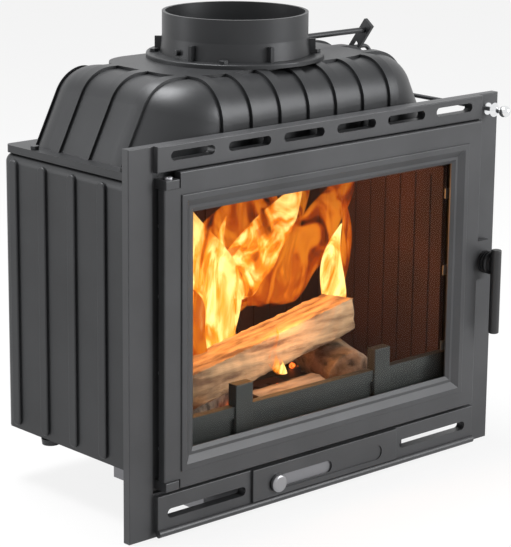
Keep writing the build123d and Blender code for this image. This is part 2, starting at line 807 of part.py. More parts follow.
# Latch: bush in the ear, spindle with its cam behind the frame, hub and upright bar in front
with BuildPart() as latch_bush:
    with BuildSketch(facing(door_front - 2.0)):
        with Locations((latch_x, latch_z)):
            Circle(bush_r)
            Circle(latch_r + shaft_fit, mode=Mode.SUBTRACT)
    extrude(amount=-(door_t + 2.0))
latch_bush.part.label = "latch_bush"
export_step(latch_bush.part, "parts/latch_bush.step")

keeper_t = 2.0
cam_y = seat_y + keeper_t + run
bar_y = face_y - bar_out
with BuildPart() as latch_spindle:
    with BuildSketch(facing(bar_y)):
        with Locations((latch_x, latch_z)):
            Circle(latch_r)
    extrude(amount=-(cam_y + cam_t + 4.0 - bar_y))
latch_spindle.part.label = "latch_spindle"
export_step(latch_spindle.part, "parts/latch_spindle.step")

with BuildPart() as latch_cam:
    with BuildSketch(facing(cam_y)):
        with Locations((latch_x, latch_z)):
            Circle(bush_r)
        with Locations((latch_x + finger_l / 2, latch_z)):
            Rectangle(finger_l, finger_w)
        with Locations((latch_x, latch_z)):
            Circle(latch_r, mode=Mode.SUBTRACT)
    extrude(amount=-cam_t)
latch_cam.part.label = "latch_cam"
export_step(latch_cam.part, "parts/latch_cam.step")

with BuildPart() as latch_nut:
    with BuildSketch(facing(cam_y + cam_t)):
        with Locations((latch_x, latch_z)):
            RegularPolygon(bush_r, 6)
            Circle(latch_r, mode=Mode.SUBTRACT)
    extrude(amount=-4.0)
latch_nut.part.label = "latch_nut"
export_step(latch_nut.part, "parts/latch_nut.step")

with BuildPart() as latch_keeper:
    with BuildSketch(facing(seat_y)):
        with Locations((latch_x + bush_r + 2.0 + 5.0, latch_z)):
            Rectangle(9.0, 26.0)
    extrude(amount=-keeper_t)
    chamfer(latch_keeper.faces().sort_by(Axis.Y)[-1].edges().filter_by(Axis.X), 1.0)
latch_keeper.part.label = "latch_keeper"
export_step(latch_keeper.part, "parts/latch_keeper.step")

hub_y = door_front - 2.0 - run
hub_l = hub_y - (bar_y + bar_r - 2.0)
with BuildPart() as lever_hub:
    with BuildSketch(facing(hub_y)):
        with Locations((latch_x, latch_z)):
            Circle(11.0)
    extrude(amount=hub_l)
    with BuildSketch(facing(hub_y)):
        with Locations((latch_x, latch_z)):
            Circle(16.0)
    extrude(amount=2.4)
    with BuildSketch(facing(hub_y - 4.6)):
        with Locations((latch_x, latch_z)):
            Circle(16.0)
    extrude(amount=2.4)
    with BuildSketch(facing(hub_y - 9.2)):
        with Locations((latch_x, latch_z)):
            Circle(16.0)
    extrude(amount=2.4)
    with BuildSketch(facing(hub_y + 1.0)):
        with Locations((latch_x, latch_z)):
            Circle(latch_r)
    extrude(amount=30.0, mode=Mode.SUBTRACT)
    with BuildSketch(level(latch_z - 30.0)):
        with Locations((latch_x, bar_y)):
            Circle(bar_r)
    extrude(amount=60.0, mode=Mode.SUBTRACT)
lever_hub.part.label = "lever_hub"
export_step(lever_hub.part, "parts/lever_hub.step")

with BuildPart() as handle_grip:
    with BuildSketch(level(latch_z + 21.0 - bar_l)):
        with Locations((latch_x, bar_y)):
            Circle(bar_r)
    extrude(amount=bar_l)
    fillet(handle_grip.edges().filter_by(GeomType.CIRCLE), 2.0)
    with BuildSketch(facing(bar_y)):
        with Locations((latch_x, latch_z)):
            Circle(latch_r)
    extrude(amount=-bar_r, mode=Mode.SUBTRACT)
handle_grip.part.label = "handle_grip"
export_step(handle_grip.part, "parts/handle_grip.step")


# Lower band: cover plate with a shallow recess and the knob's slot, the slide behind it, the knob
band_y = face_y - panel_proud
track_mid = band_mid - 2.0
knob_slot_l = knob_travel + 2 * stem_r + 6.0
recess_l = 212.0
cover_z = bottom_z + 2 * lip_r + 2.5
cover_top = bottom_z + band_z + band_h
with BuildPart() as air_cover:
    with BuildSketch(facing(band_y)):
        with Locations((0, (cover_z + cover_top) / 2)):
            Rectangle(cover_w, cover_top - cover_z)
    extrude(amount=cover_t)
    fillet(air_cover.faces().sort_by(Axis.Y)[0].edges(), 1.0)
    with BuildSketch(facing(band_y - cover_t)):
        with Locations((0, track_mid)):
            SlotOverall(recess_l, knob_slot_h + 4.0)
    extrude(amount=-1.5, mode=Mode.SUBTRACT)
    with BuildSketch(facing(band_y - cover_t)):
        with Locations((knob_x + knob_travel / 2, track_mid)):
            SlotOverall(knob_slot_l, knob_slot_h)
    extrude(amount=-cover_t, mode=Mode.SUBTRACT)
air_cover.part.label = "air_cover"
export_step(air_cover.part, "parts/air_cover.step")

slide_l = 168.0
slide_x = -cover_w / 2 + 4.0 + slide_l / 2
with BuildPart() as air_slide:
    with BuildSketch(facing(track_y - run)):
        with Locations((slide_x, track_mid)):
            Rectangle(slide_l, track_h - 2 * run)
    extrude(amount=track_depth - 2 * run)
    with BuildSketch(facing(band_y + run)):
        with Locations((knob_x, track_mid)):
            Circle(stem_r)
    extrude(amount=cover_t + 1.0)
air_slide.part.label = "air_slide"
export_step(air_slide.part, "parts/air_slide.step")

knob_y = band_y + run - cover_t - 1.0
with BuildPart() as air_knob:
    with BuildSketch(facing(knob_y)):
        with Locations((knob_x, track_mid)):
            Circle(knob_r)
    extrude(amount=7.0)
    fillet(air_knob.faces().sort_by(Axis.Y)[0].edges(), 4.0)
air_knob.part.label = "air_knob"
export_step(air_knob.part, "parts/air_knob.step")

# Air and ash box under the base, with its duct to the front, and the pan in it
box_y = body_y + duct_len
box_top = 0.0
box_low = bottom_z
box_mid = box_y + box_d / 2
duct_h = 46.0
duct_mid = -20.0 - duct_h / 2
with BuildPart() as air_box:
    with BuildSketch(level(box_low)):
        with Locations((0, box_mid)):
            Rectangle(box_w, box_d)
    extrude(amount=box_top - box_low)
    with BuildSketch(facing(body_y)):
        with Locations((0, duct_mid)):
            Rectangle(duct_w, duct_h)
    extrude(amount=-duct_len)
    with BuildSketch(facing(body_y)):
        with Locations((0, duct_mid)):
            Rectangle(duct_w, duct_h)
    extrude(amount=edge_d - face_t)
    with BuildSketch(facing(seat_y)):
        with Locations((0, duct_mid)):
            Rectangle(duct_w - 2 * box_t, duct_h - 2 * box_t)
    extrude(amount=-(duct_len + edge_d), mode=Mode.SUBTRACT)
    with BuildSketch(level(box_low + box_t)):
        with Locations((0, box_mid)):
            Rectangle(box_w - 2 * box_t, box_d - 2 * box_t)
    extrude(amount=box_top - box_low, mode=Mode.SUBTRACT)
air_box.part.label = "air_box"
export_step(air_box.part, "parts/air_box.step")

with BuildPart() as ash_pan:
    with BuildSketch(level(box_low + box_t)):
        RectangleRounded(pan_w, pan_d, 8.0)
    extrude(amount=pan_h)
    with BuildSketch(level(box_low + box_t + pan_h - pan_t)):
        with Locations((0, -pan_d / 2)):
            RectangleRounded(70.0, 24.0, 8.0)
    extrude(amount=pan_t)
    with BuildSketch(level(box_low + box_t + pan_t)):
        RectangleRounded(pan_w - 2 * pan_t, pan_d - 2 * pan_t, 6.0)
    extrude(amount=pan_h, mode=Mode.SUBTRACT)
ash_pan.part.label = "ash_pan"
export_step(ash_pan.part, "parts/ash_pan.step")

# Liners with grooves, and the baffle that lies on them
liner_x = wall_x - wall_t - liner_gap
liner_front = body_y + 34.0
liner_back = back_y - wall_t - liner_gap
with BuildPart() as left_liner:
    with BuildSketch(level(floor_z)):
        with Locations((-liner_x + liner_t / 2, (liner_front + liner_back - liner_t) / 2)):
            Rectangle(liner_t, liner_back - liner_t - liner_front)
    extrude(amount=liner_h)
    with BuildSketch(across(-liner_x + liner_t)):
        with Locations(*[(liner_front + 22.0 + i * 30.0, floor_z + liner_h / 2) for i in range(8)]):
            Rectangle(5.0, liner_h - 30.0)
    extrude(amount=-2.5, mode=Mode.SUBTRACT)
left_liner.part.label = "left_liner"
export_step(left_liner.part, "parts/left_liner.step")

with BuildPart() as right_liner:
    mirror(left_liner.part, about=Plane.YZ)
right_liner.part.label = "right_liner"
export_step(right_liner.part, "parts/right_liner.step")

with BuildPart() as back_liner:
    with BuildSketch(facing(liner_back)):
        with Locations((0, floor_z + liner_h / 2)):
            Rectangle(2 * liner_x, liner_h)
    extrude(amount=liner_t)
    with BuildSketch(facing(liner_back - liner_t)):
        with GridLocations(32.0, 0, 16, 1):
            with Locations((0, floor_z + liner_h / 2)):
                Rectangle(5.0, liner_h - 30.0)
    extrude(amount=-2.5, mode=Mode.SUBTRACT)
back_liner.part.label = "back_liner"
export_step(back_liner.part, "parts/back_liner.step")

with BuildPart() as baffle_plate:
    with BuildSketch(level(floor_z + liner_h)):
        with Locations((0, liner_back - baffle_d / 2)):
            Rectangle(2 * liner_x, baffle_d)
    extrude(amount=baffle_t)
    fillet(baffle_plate.edges().filter_by(Axis.X), 3.0)
baffle_plate.part.label = "baffle_plate"
export_step(baffle_plate.part, "parts/baffle_plate.step")

# Log guard: low plate with a moulded upper edge and two posts, standing on the hearth
guard_y = body_y + 8.0
with BuildPart() as log_guard:
    with BuildSketch(facing(guard_y)):
        with Locations((0, floor_z + guard_h / 2)):
            Rectangle(guard_w, guard_h)
    extrude(amount=-guard_t)
    with BuildSketch(facing(guard_y)):
        with Locations((0, floor_z + guard_h - 8.0)):
            Rectangle(guard_w, 16.0)
    extrude(amount=4.0)
    with BuildSketch(facing(guard_y)):
        with Locations(*[(s * post_x, floor_z + post_h / 2) for s in (-1, 1)]):
            Rectangle(post_w, post_h)
    extrude(amount=7.0)
    with BuildSketch(facing(guard_y)):
        with Locations(*[(s * post_x, floor_z + post_h / 2) for s in (-1, 1)]):
            Rectangle(post_w, post_h)
    extrude(amount=-guard_t)
    fillet(log_guard.faces().sort_by(Axis.Y)[:2].edges(), 1.5)
log_guard.part.label = "log_guard"
export_step(log_guard.part, "parts/log_guard.step")

# Screws
head_depth = 2.9
with BuildPart() as frame_screws:
    with BuildSketch(facing(seat_y)):
        with Locations(*frame_screw_places):
            Circle(5.9)
    extrude(amount=-head_depth, taper=45)
    with BuildSketch(facing(seat_y)):
        with Locations(*frame_screw_places):
            Circle(bolt_r)
    extrude(amount=-(face_t + wall_t - 1.0))
frame_screws.part.label = "frame_screws"
export_step(frame_screws.part, "parts/frame_screws.step")

# Fire logs: a round one and two split ones on the hearth, and a long split one lying on them


def log_plane(start, end):
    """Plane at start, square to the log's line, its X level and its Y up."""
    line = Vector(*end) - Vector(*start)
    return Plane(origin=start, x_dir=Vector(0, 0, 1).cross(line), z_dir=line)


def log_length(start, end):
    return (Vector(*end) - Vector(*start)).length


log_r = 36.0
right_start = (118.0, -78.0, floor_z + log_r)
right_end = (196.0, 112.0, floor_z + log_r)
with BuildPart() as right_log:
    with BuildSketch(log_plane(right_start, right_end)):
        Circle(log_r)
    extrude(amount=log_length(right_start, right_end))
    fillet(right_log.edges().filter_by(GeomType.CIRCLE), 2.0)
right_log.part.label = "right_log"
export_step(right_log.part, "parts/right_log.step")

back_start = (-205.0, -52.0, floor_z)
back_end = (45.0, 96.0, floor_z)
with BuildPart() as back_log:
    with BuildSketch(log_plane(back_start, back_end)):
        with BuildLine():
            back_bark = ThreePointArc((-32.0, 0), (0, 54.0), (32.0, 0))
            Line(back_bark @ 1, back_bark @ 0)
        make_face()
    extrude(amount=log_length(back_start, back_end))
back_log.part.label = "back_log"
export_step(back_log.part, "parts/back_log.step")

front_start = (-62.0, -68.0, floor_z)
front_end = (72.0, -58.0, floor_z)
with BuildPart() as front_log:
    with BuildSketch(log_plane(front_start, front_end)):
        with BuildLine():
            front_bark = ThreePointArc((-26.0, 0), (2.0, 46.0), (30.0, 0))
            Line(front_bark @ 1, front_bark @ 0)
        make_face()
    extrude(amount=log_length(front_start, front_end))
    add(back_log.part, mode=Mode.SUBTRACT)
front_log.part.label = "front_log"
export_step(front_log.part, "parts/front_log.step")

long_start = (-188.0, -42.0, 72.0)
long_end = (146.0, -26.0, 126.0)
with BuildPart() as long_log:
    with BuildSketch(log_plane(long_start, long_end)):
        with BuildLine():
            long_bark = ThreePointArc((34.0, 24.0), (22.0, -24.0), (-28.0, -20.0))
            Polyline(long_bark @ 1, (-30.0, 30.0), long_bark @ 0)
        make_face()
    extrude(amount=log_length(long_start, long_end))
    add(right_log.part, mode=Mode.SUBTRACT)
    add(back_log.part, mode=Mode.SUBTRACT)
    add(front_log.part, mode=Mode.SUBTRACT)
long_log.part.label = "long_log"
export_step(long_log.part, "parts/long_log.step")
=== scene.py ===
import math
import random

import bpy
import bmesh
from mathutils import Matrix, Vector, noise


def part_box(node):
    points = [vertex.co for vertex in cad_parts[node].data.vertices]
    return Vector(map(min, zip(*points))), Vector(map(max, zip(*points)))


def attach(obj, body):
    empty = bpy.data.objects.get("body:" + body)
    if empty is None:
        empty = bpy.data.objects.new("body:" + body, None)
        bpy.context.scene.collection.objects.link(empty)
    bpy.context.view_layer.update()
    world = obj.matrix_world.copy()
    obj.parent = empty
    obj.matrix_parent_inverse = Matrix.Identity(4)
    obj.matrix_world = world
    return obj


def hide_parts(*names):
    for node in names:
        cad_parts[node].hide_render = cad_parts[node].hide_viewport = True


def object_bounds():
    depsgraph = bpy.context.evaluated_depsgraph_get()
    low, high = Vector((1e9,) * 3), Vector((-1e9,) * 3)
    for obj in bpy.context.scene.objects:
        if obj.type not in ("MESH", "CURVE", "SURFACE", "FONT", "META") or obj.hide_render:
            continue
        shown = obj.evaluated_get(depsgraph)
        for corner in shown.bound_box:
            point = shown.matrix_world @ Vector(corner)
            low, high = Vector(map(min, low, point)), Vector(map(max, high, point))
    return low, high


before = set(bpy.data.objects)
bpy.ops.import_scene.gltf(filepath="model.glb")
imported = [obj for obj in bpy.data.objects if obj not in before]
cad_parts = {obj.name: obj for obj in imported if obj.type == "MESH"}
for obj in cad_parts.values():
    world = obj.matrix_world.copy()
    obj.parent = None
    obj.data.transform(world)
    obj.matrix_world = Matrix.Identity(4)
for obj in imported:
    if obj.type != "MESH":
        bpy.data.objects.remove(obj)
cad_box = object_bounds()
scene = bpy.context.scene
random.seed(7)

# Camera: found from the straight edges of the front frame in the photograph
CAMERA_PLACE = (-2.0059, -2.1939, 0.9581)
CAMERA_TURN = 42.498
CAMERA_DOWN = 14.289
CAMERA_ROLL = 0.573
CAMERA_LENS = 146.47
SENSOR = 36.0

# Colours, linear
# PLATE_PAINTED_LIGHT: dark iron made lighter as painted light on the front frame, door and air cover
PLATE_PAINTED_LIGHT = (0.052, 0.053, 0.056)
# BODY_PAINTED_SHADE: the same dark iron made darker as painted shade on the walls, hood and fittings
BODY_PAINTED_SHADE = (0.03, 0.031, 0.033)
# Dark soot with a red cast painted in as firelight on the liners, baffle and grate
SOOT_AND_PAINTED_FIRELIGHT = (0.036, 0.012, 0.008)
STEEL = (0.2, 0.2, 0.21)
BRIGHT = (0.78, 0.79, 0.8)
HANDLE = (0.012, 0.012, 0.013)
ROPE = (0.42, 0.4, 0.36)
BARK = (0.2, 0.15, 0.11)
SPLIT = (0.62, 0.42, 0.24)
ASH = (0.2, 0.18, 0.17)
FLOOR = (0.86, 0.86, 0.86)
GUARD = (0.026, 0.03, 0.03)
ZINC = (0.42, 0.42, 0.44)
KNOB = (0.3, 0.3, 0.31)
DRY_SPLIT = (0.46, 0.36, 0.27)
YELLOW = (1.0, 0.74, 0.24)
ORANGE = (1.0, 0.27, 0.015)
RED = (0.34, 0.025, 0.002)
DEEP_ORANGE = (0.7, 0.09, 0.004)
PANE = (0.97, 0.97, 0.96)
SPLIT_DARK = (0.16, 0.09, 0.05)
DRY_DARK = (0.12, 0.09, 0.07)
EMBER_DARK = (0.02, 0.018, 0.017)
EMBER_GLOW = (1.0, 0.16, 0.02)
BLACK = (0.0, 0.0, 0.0)

# Grain and light
SAND_SCALE = 900.0  # grains per metre on the castings
SAND_DEPTH = 0.0006
WOOD_DEPTH = 0.004
WORLD_STRENGTH = 0.2
FLOOR_GLOW = 0.86  # share of plain white in what the camera sees of the floor
FLOOR_HALF = 6.0
FIRE_COLOUR = (1.0, 0.42, 0.12)

# Logs, embers and flames
LOG_VOXEL = 0.0028
LOG_GRAIN = 45.0
SPLIT_GRAIN = (0.25, 1.6, 1.6)  # streaks along a log's own x axis
BARK_GRAIN = (1.0, 0.4, 1.0)
EMBERS = 70
EMBER_SIZES = (0.006, 0.014)
EMBER_REACH = 0.22
EMBER_BACK = 0.1
GUARD_GAP = 0.012
FLAME_ROWS = 26
FLAME_SIDES = 18
FLAME_DEPTH = 0.34  # thickness as a share of width
FLAME_WAVE = 0.02


def new_material(name):
    """Material with an empty node tree but for its shader and output."""
    mat = bpy.data.materials.new(name)
    mat.use_nodes = True
    return mat, mat.node_tree.nodes, mat.node_tree.links


def noise_node(nodes, links, scale, detail, stretch=(1, 1, 1)):
    """Noise over the object's own coordinates, stretched along its axes."""
    place = nodes.new("ShaderNodeTexCoord")
    mapping = nodes.new("ShaderNodeMapping")
    mapping.inputs["Scale"].default_value = stretch
    texture = nodes.new("ShaderNodeTexNoise")
    texture.inputs["Scale"].default_value = scale
    texture.inputs["Detail"].default_value = detail
    links.new(place.outputs["Object"], mapping.inputs["Vector"])
    links.new(mapping.outputs["Vector"], texture.inputs["Vector"])
    return texture


def ramp_node(nodes, stops):
    """Colour ramp from (place, colour) pairs."""
    ramp = nodes.new("ShaderNodeValToRGB")
    elements = ramp.color_ramp.elements
    while len(elements) < len(stops):
        elements.new(0.5)
    for element, (place, colour) in zip(elements, stops):
        element.position = place
        element.color = (*colour, 1)
    return ramp


def scaled(colour, factor):
    """Colour made lighter or darker."""
    return tuple(min(c * factor, 1.0) for c in colour)


def cast_material(name, colour, roughness=0.5, metallic=0.35, grain=0.12, tint=0.16):
    """Satin painted casting: fine sandy grain, and a slow change of tone."""
    mat, nodes, links = new_material(name)
    shader = nodes["Principled BSDF"]
    shader.inputs["Metallic"].default_value = metallic
    shader.inputs["Roughness"].default_value = roughness
    cloud = noise_node(nodes, links, 9.0, 4.0)
    ramp = ramp_node(nodes, [(0.3, scaled(colour, 1 - tint)), (0.7, scaled(colour, 1 + tint))])
    links.new(cloud.outputs["Fac"], ramp.inputs["Fac"])
    links.new(ramp.outputs["Color"], shader.inputs["Base Color"])
    if not grain:
        return mat
    sand = noise_node(nodes, links, SAND_SCALE, 3.0)
    bump = nodes.new("ShaderNodeBump")
    bump.inputs["Strength"].default_value = grain
    bump.inputs["Distance"].default_value = SAND_DEPTH
    links.new(sand.outputs["Fac"], bump.inputs["Height"])
    links.new(bump.outputs["Normal"], shader.inputs["Normal"])
    return mat


def metal_material(name, colour, roughness, stretch=(1, 1, 1)):
    """Bare or plated metal with a slight unevenness of its gloss."""
    mat, nodes, links = new_material(name)
    shader = nodes["Principled BSDF"]
    shader.inputs["Base Color"].default_value = (*colour, 1)
    shader.inputs["Metallic"].default_value = 1.0
    cloud = noise_node(nodes, links, 60.0, 3.0, stretch)
    spread = nodes.new("ShaderNodeMapRange")
    spread.inputs["To Min"].default_value = roughness * 0.8
    spread.inputs["To Max"].default_value = roughness * 1.25
    links.new(cloud.outputs["Fac"], spread.inputs["Value"])
    links.new(spread.outputs["Result"], shader.inputs["Roughness"])
    return mat


def glass_material():
    """Clear pane: mostly see-through, with a faint reflection."""
    mat, nodes, links = new_material("pane")
    nodes.remove(nodes["Principled BSDF"])
    clear = nodes.new("ShaderNodeBsdfTransparent")
    clear.inputs["Color"].default_value = (*PANE, 1)
    gloss = nodes.new("ShaderNodeBsdfGlossy")
    gloss.inputs["Roughness"].default_value = 0.0
    fresnel = nodes.new("ShaderNodeFresnel")
    fresnel.inputs["IOR"].default_value = 1.1
    mix = nodes.new("ShaderNodeMixShader")
    links.new(fresnel.outputs["Fac"], mix.inputs["Fac"])
    links.new(clear.outputs["BSDF"], mix.inputs[1])
    links.new(gloss.outputs["BSDF"], mix.inputs[2])
    links.new(mix.outputs["Shader"], nodes["Material Output"].inputs["Surface"])
    return mat


def rope_material():
    """Braided rope: crossing waves."""
    mat, nodes, links = new_material("braid")
    shader = nodes["Principled BSDF"]
    shader.inputs["Roughness"].default_value = 0.95
    weave = noise_node(nodes, links, 350.0, 2.0)
    ramp = ramp_node(nodes, [(0.35, scaled(ROPE, 0.5)), (0.65, ROPE)])
    links.new(weave.outputs["Fac"], ramp.inputs["Fac"])
    links.new(ramp.outputs["Color"], shader.inputs["Base Color"])
    bump = nodes.new("ShaderNodeBump")
    bump.inputs["Strength"].default_value = 0.8
    bump.inputs["Distance"].default_value = 0.001
    links.new(weave.outputs["Fac"], bump.inputs["Height"])
    links.new(bump.outputs["Normal"], shader.inputs["Normal"])
    return mat


def wood_material(name, light, dark, stretch, scale=40.0):
    """Wood with streaks along the stretched axis."""
    mat, nodes, links = new_material(name)
    shader = nodes["Principled BSDF"]
    shader.inputs["Roughness"].default_value = 0.85
    streak = noise_node(nodes, links, scale, 8.0, stretch)
    ramp = ramp_node(nodes, [(0.36, dark), (0.5, scaled(light, 0.7)), (0.62, light)])
    links.new(streak.outputs["Fac"], ramp.inputs["Fac"])
    links.new(ramp.outputs["Color"], shader.inputs["Base Color"])
    bump = nodes.new("ShaderNodeBump")
    bump.inputs["Strength"].default_value = 1.0
    bump.inputs["Distance"].default_value = WOOD_DEPTH
    links.new(streak.outputs["Fac"], bump.inputs["Height"])
    links.new(bump.outputs["Normal"], shader.inputs["Normal"])
    return mat


def flame_material(name, low, high, strength, hot, mid, cool, softness):
    """Glowing gas: bright where the noise is high, clear towards its edges and tip."""
    mat, nodes, links = new_material(name)
    nodes.remove(nodes["Principled BSDF"])
    streak = noise_node(nodes, links, 17.0, 6.0, (1.5, 1.5, 0.55))
    streak.inputs["Distortion"].default_value = 1.6
    ramp = ramp_node(nodes, [(0.3, cool), (0.48, mid), (0.62, hot)])
    links.new(streak.outputs["Fac"], ramp.inputs["Fac"])
    glow = nodes.new("ShaderNodeEmission")
    glow.inputs["Strength"].default_value = strength
    links.new(ramp.outputs["Color"], glow.inputs["Color"])
    clear = nodes.new("ShaderNodeBsdfTransparent")
    edge = nodes.new("ShaderNodeLayerWeight")
    edge.inputs["Blend"].default_value = softness
    core = nodes.new("ShaderNodeMapRange")
    core.inputs["From Min"].default_value = 1.0
    core.inputs["From Max"].default_value = 0.1
    links.new(edge.outputs["Facing"], core.inputs["Value"])
    holes = nodes.new("ShaderNodeMapRange")
    holes.inputs["From Min"].default_value = 0.36
    holes.inputs["From Max"].default_value = 0.56
    links.new(streak.outputs["Fac"], holes.inputs["Value"])
    place = nodes.new("ShaderNodeTexCoord")
    parts = nodes.new("ShaderNodeSeparateXYZ")
    links.new(place.outputs["Object"], parts.inputs["Vector"])
    tip = nodes.new("ShaderNodeMapRange")
    tip.inputs["From Min"].default_value = high
    tip.inputs["From Max"].default_value = low + 0.55 * (high - low)
    links.new(parts.outputs["Z"], tip.inputs["Value"])
    thick = nodes.new("ShaderNodeMath")
    thick.operation = "MULTIPLY"
    links.new(core.outputs["Result"], thick.inputs[0])
    links.new(holes.outputs["Result"], thick.inputs[1])
    fade = nodes.new("ShaderNodeMath")
    fade.operation = "MULTIPLY"
    links.new(thick.outputs["Value"], fade.inputs[0])
    links.new(tip.outputs["Result"], fade.inputs[1])
    mix = nodes.new("ShaderNodeMixShader")
    links.new(fade.outputs["Value"], mix.inputs["Fac"])
    links.new(clear.outputs["BSDF"], mix.inputs[1])
    links.new(glow.outputs["Emission"], mix.inputs[2])
    links.new(mix.outputs["Shader"], nodes["Material Output"].inputs["Surface"])
    return mat


def dress(material, *names):
    """Gives CAD nodes their material."""
    for name in names:
        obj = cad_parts[name]
        obj.data.materials.clear()
        obj.data.materials.append(material)


def seen_rays(nodes, links):
    """1 for the rays that see the background: the camera's, and those by way of metal or glass."""
    rays = nodes.new("ShaderNodeLightPath")
    mirrored = nodes.new("ShaderNodeMath")
    mirrored.operation = "MAXIMUM"
    links.new(rays.outputs["Is Camera Ray"], mirrored.inputs[0])
    links.new(rays.outputs["Is Glossy Ray"], mirrored.inputs[1])
    seen = nodes.new("ShaderNodeMath")
    seen.operation = "MAXIMUM"
    links.new(mirrored.outputs["Value"], seen.inputs[0])
    links.new(rays.outputs["Is Transmission Ray"], seen.inputs[1])
    return seen.outputs["Value"]


# CAD nodes
# The front pieces get a lighter iron than the walls and hood: painted light on the front, painted shade
# on the sides
plate = cast_material("plate", PLATE_PAINTED_LIGHT, roughness=0.42)
casting = cast_material("casting", BODY_PAINTED_SHADE, roughness=0.42, metallic=0.5)
# The lining's red cast is painted firelight over dark soot
lining = cast_material("lining", SOOT_AND_PAINTED_FIRELIGHT, roughness=0.9, metallic=0.0, grain=0, tint=0.35)
guard_iron = cast_material("guard_iron", GUARD, roughness=0.55, grain=0)
sheet_steel = metal_material("sheet_steel", STEEL, 0.5)
zinc = metal_material("zinc", ZINC, 0.4)
chrome = metal_material("bright_chrome", BRIGHT, 0.1)
black = cast_material("black_grip", HANDLE, roughness=0.42, metallic=0.0, grain=0.05)
dress(plate, "front_frame", "door_frame", "air_cover")
dress(casting, "left_wall", "right_wall", "back_wall", "hood", "flue_collar", "hearth_base")
dress(casting, "collar_bolts", "hood_bolts")
dress(lining, "left_liner", "right_liner", "back_liner", "baffle_plate", "grate")
dress(guard_iron, "log_guard")
dress(casting, "damper_crank", "damper_rod", "damper_plate", "damper_spindle")
dress(casting, "crank_bolt", "damper_screws")
dress(sheet_steel, "air_slide", "air_box", "ash_pan", "glass_clips", "latch_keeper")
dress(zinc, "frame_screws", "clip_screws", "latch_nut", "latch_cam", "latch_bush", "hinge_pins")
dress(chrome, "ball_knob", "rod_guide")
dress(metal_material("slide_knob", KNOB, 0.32), "air_knob")
dress(black, "handle_grip", "lever_hub", "latch_spindle")
dress(glass_material(), "door_glass")
dress(rope_material(), "door_rope", "glass_tape")


def finish_piece(obj, material, body):
    """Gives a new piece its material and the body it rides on."""
    obj.data.materials.clear()
    obj.data.materials.append(material)
    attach(obj, body)


# Logs: each one is its CAD solid with a rough surface
def rough_log(node, material, depth):
    """Replaces a log's solid by a copy of it, remeshed and roughened inwards."""
    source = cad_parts[node]
    piece = bpy.data.objects.new("fire_" + node, source.data.copy())
    scene.collection.objects.link(piece)
    remesh = piece.modifiers.new("remesh", "REMESH")
    remesh.mode = "VOXEL"
    remesh.voxel_size = LOG_VOXEL
    evaluated = piece.evaluated_get(bpy.context.evaluated_depsgraph_get())
    baked = bpy.data.meshes.new_from_object(evaluated)
    piece.modifiers.clear()
    piece.data = baked
    shift = Vector((random.random() * 9, random.random() * 9, random.random() * 9))
    moved = bmesh.new()
    moved.from_mesh(baked)
    moved.normal_update()
    for vertex in moved.verts:
        coarse = noise.fractal(vertex.co * LOG_GRAIN + shift, 1.0, 2.0, 4)
        vertex.co -= vertex.normal * depth * (0.5 + 0.5 * coarse)
    moved.to_mesh(baked)
    moved.free()
    for polygon in baked.polygons:
        polygon.use_smooth = True
    finish_piece(piece, material, "casing")
    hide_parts(node)


split_wood = wood_material("split_wood", SPLIT, SPLIT_DARK, SPLIT_GRAIN)
bark = wood_material("bark", scaled(BARK, 1.7), scaled(BARK, 0.35), BARK_GRAIN, 60.0)
dry_wood = wood_material("dry_wood", DRY_SPLIT, DRY_DARK, SPLIT_GRAIN)
rough_log("long_log", split_wood, 0.0035)
rough_log("right_log", bark, 0.004)
rough_log("front_log", dry_wood, 0.003)
rough_log("back_log", bark, 0.0035)


# Embers on the hearth
def lump(name, centre, radius):
    """Irregular flattened lump."""
    mesh = bpy.data.meshes.new(name)
    built = bmesh.new()
    bmesh.ops.create_icosphere(built, subdivisions=2, radius=radius)
    shift = Vector((random.random() * 30, random.random() * 30, random.random() * 30))
    for vertex in built.verts:
        vertex.co *= 1 + 0.5 * noise.noise(vertex.co * 1.3 / radius + shift)
        vertex.co.z *= 0.7
        vertex.co += Vector(centre)
    built.to_mesh(mesh)
    built.free()
    obj = bpy.data.objects.new(name, mesh)
    scene.collection.objects.link(obj)
    return obj


def ember_material():
    """Burnt lump: grey ash over a red glow in the cracks."""
    mat, nodes, links = new_material("ember")
    shader = nodes["Principled BSDF"]
    shader.inputs["Roughness"].default_value = 1.0
    crack = noise_node(nodes, links, 90.0, 3.0)
    ramp = ramp_node(nodes, [(0.4, EMBER_DARK), (0.62, ASH)])
    glow = ramp_node(nodes, [(0.36, EMBER_GLOW), (0.5, BLACK)])
    links.new(crack.outputs["Fac"], ramp.inputs["Fac"])
    links.new(crack.outputs["Fac"], glow.inputs["Fac"])
    links.new(ramp.outputs["Color"], shader.inputs["Base Color"])
    links.new(glow.outputs["Color"], shader.inputs["Emission Color"])
    shader.inputs["Emission Strength"].default_value = 3.0
    return mat


guard_low, guard_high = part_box("log_guard")
floor_z = guard_low[2]
fire_front = guard_high[1] + GUARD_GAP
ember = ember_material()
for i in range(EMBERS):
    size = random.uniform(*EMBER_SIZES)
    across = random.uniform(-EMBER_REACH, EMBER_REACH)
    place = (across, random.uniform(fire_front, EMBER_BACK), floor_z + size * 0.45)
    finish_piece(lump("ember_%02d" % i, place, size), ember, "casing")


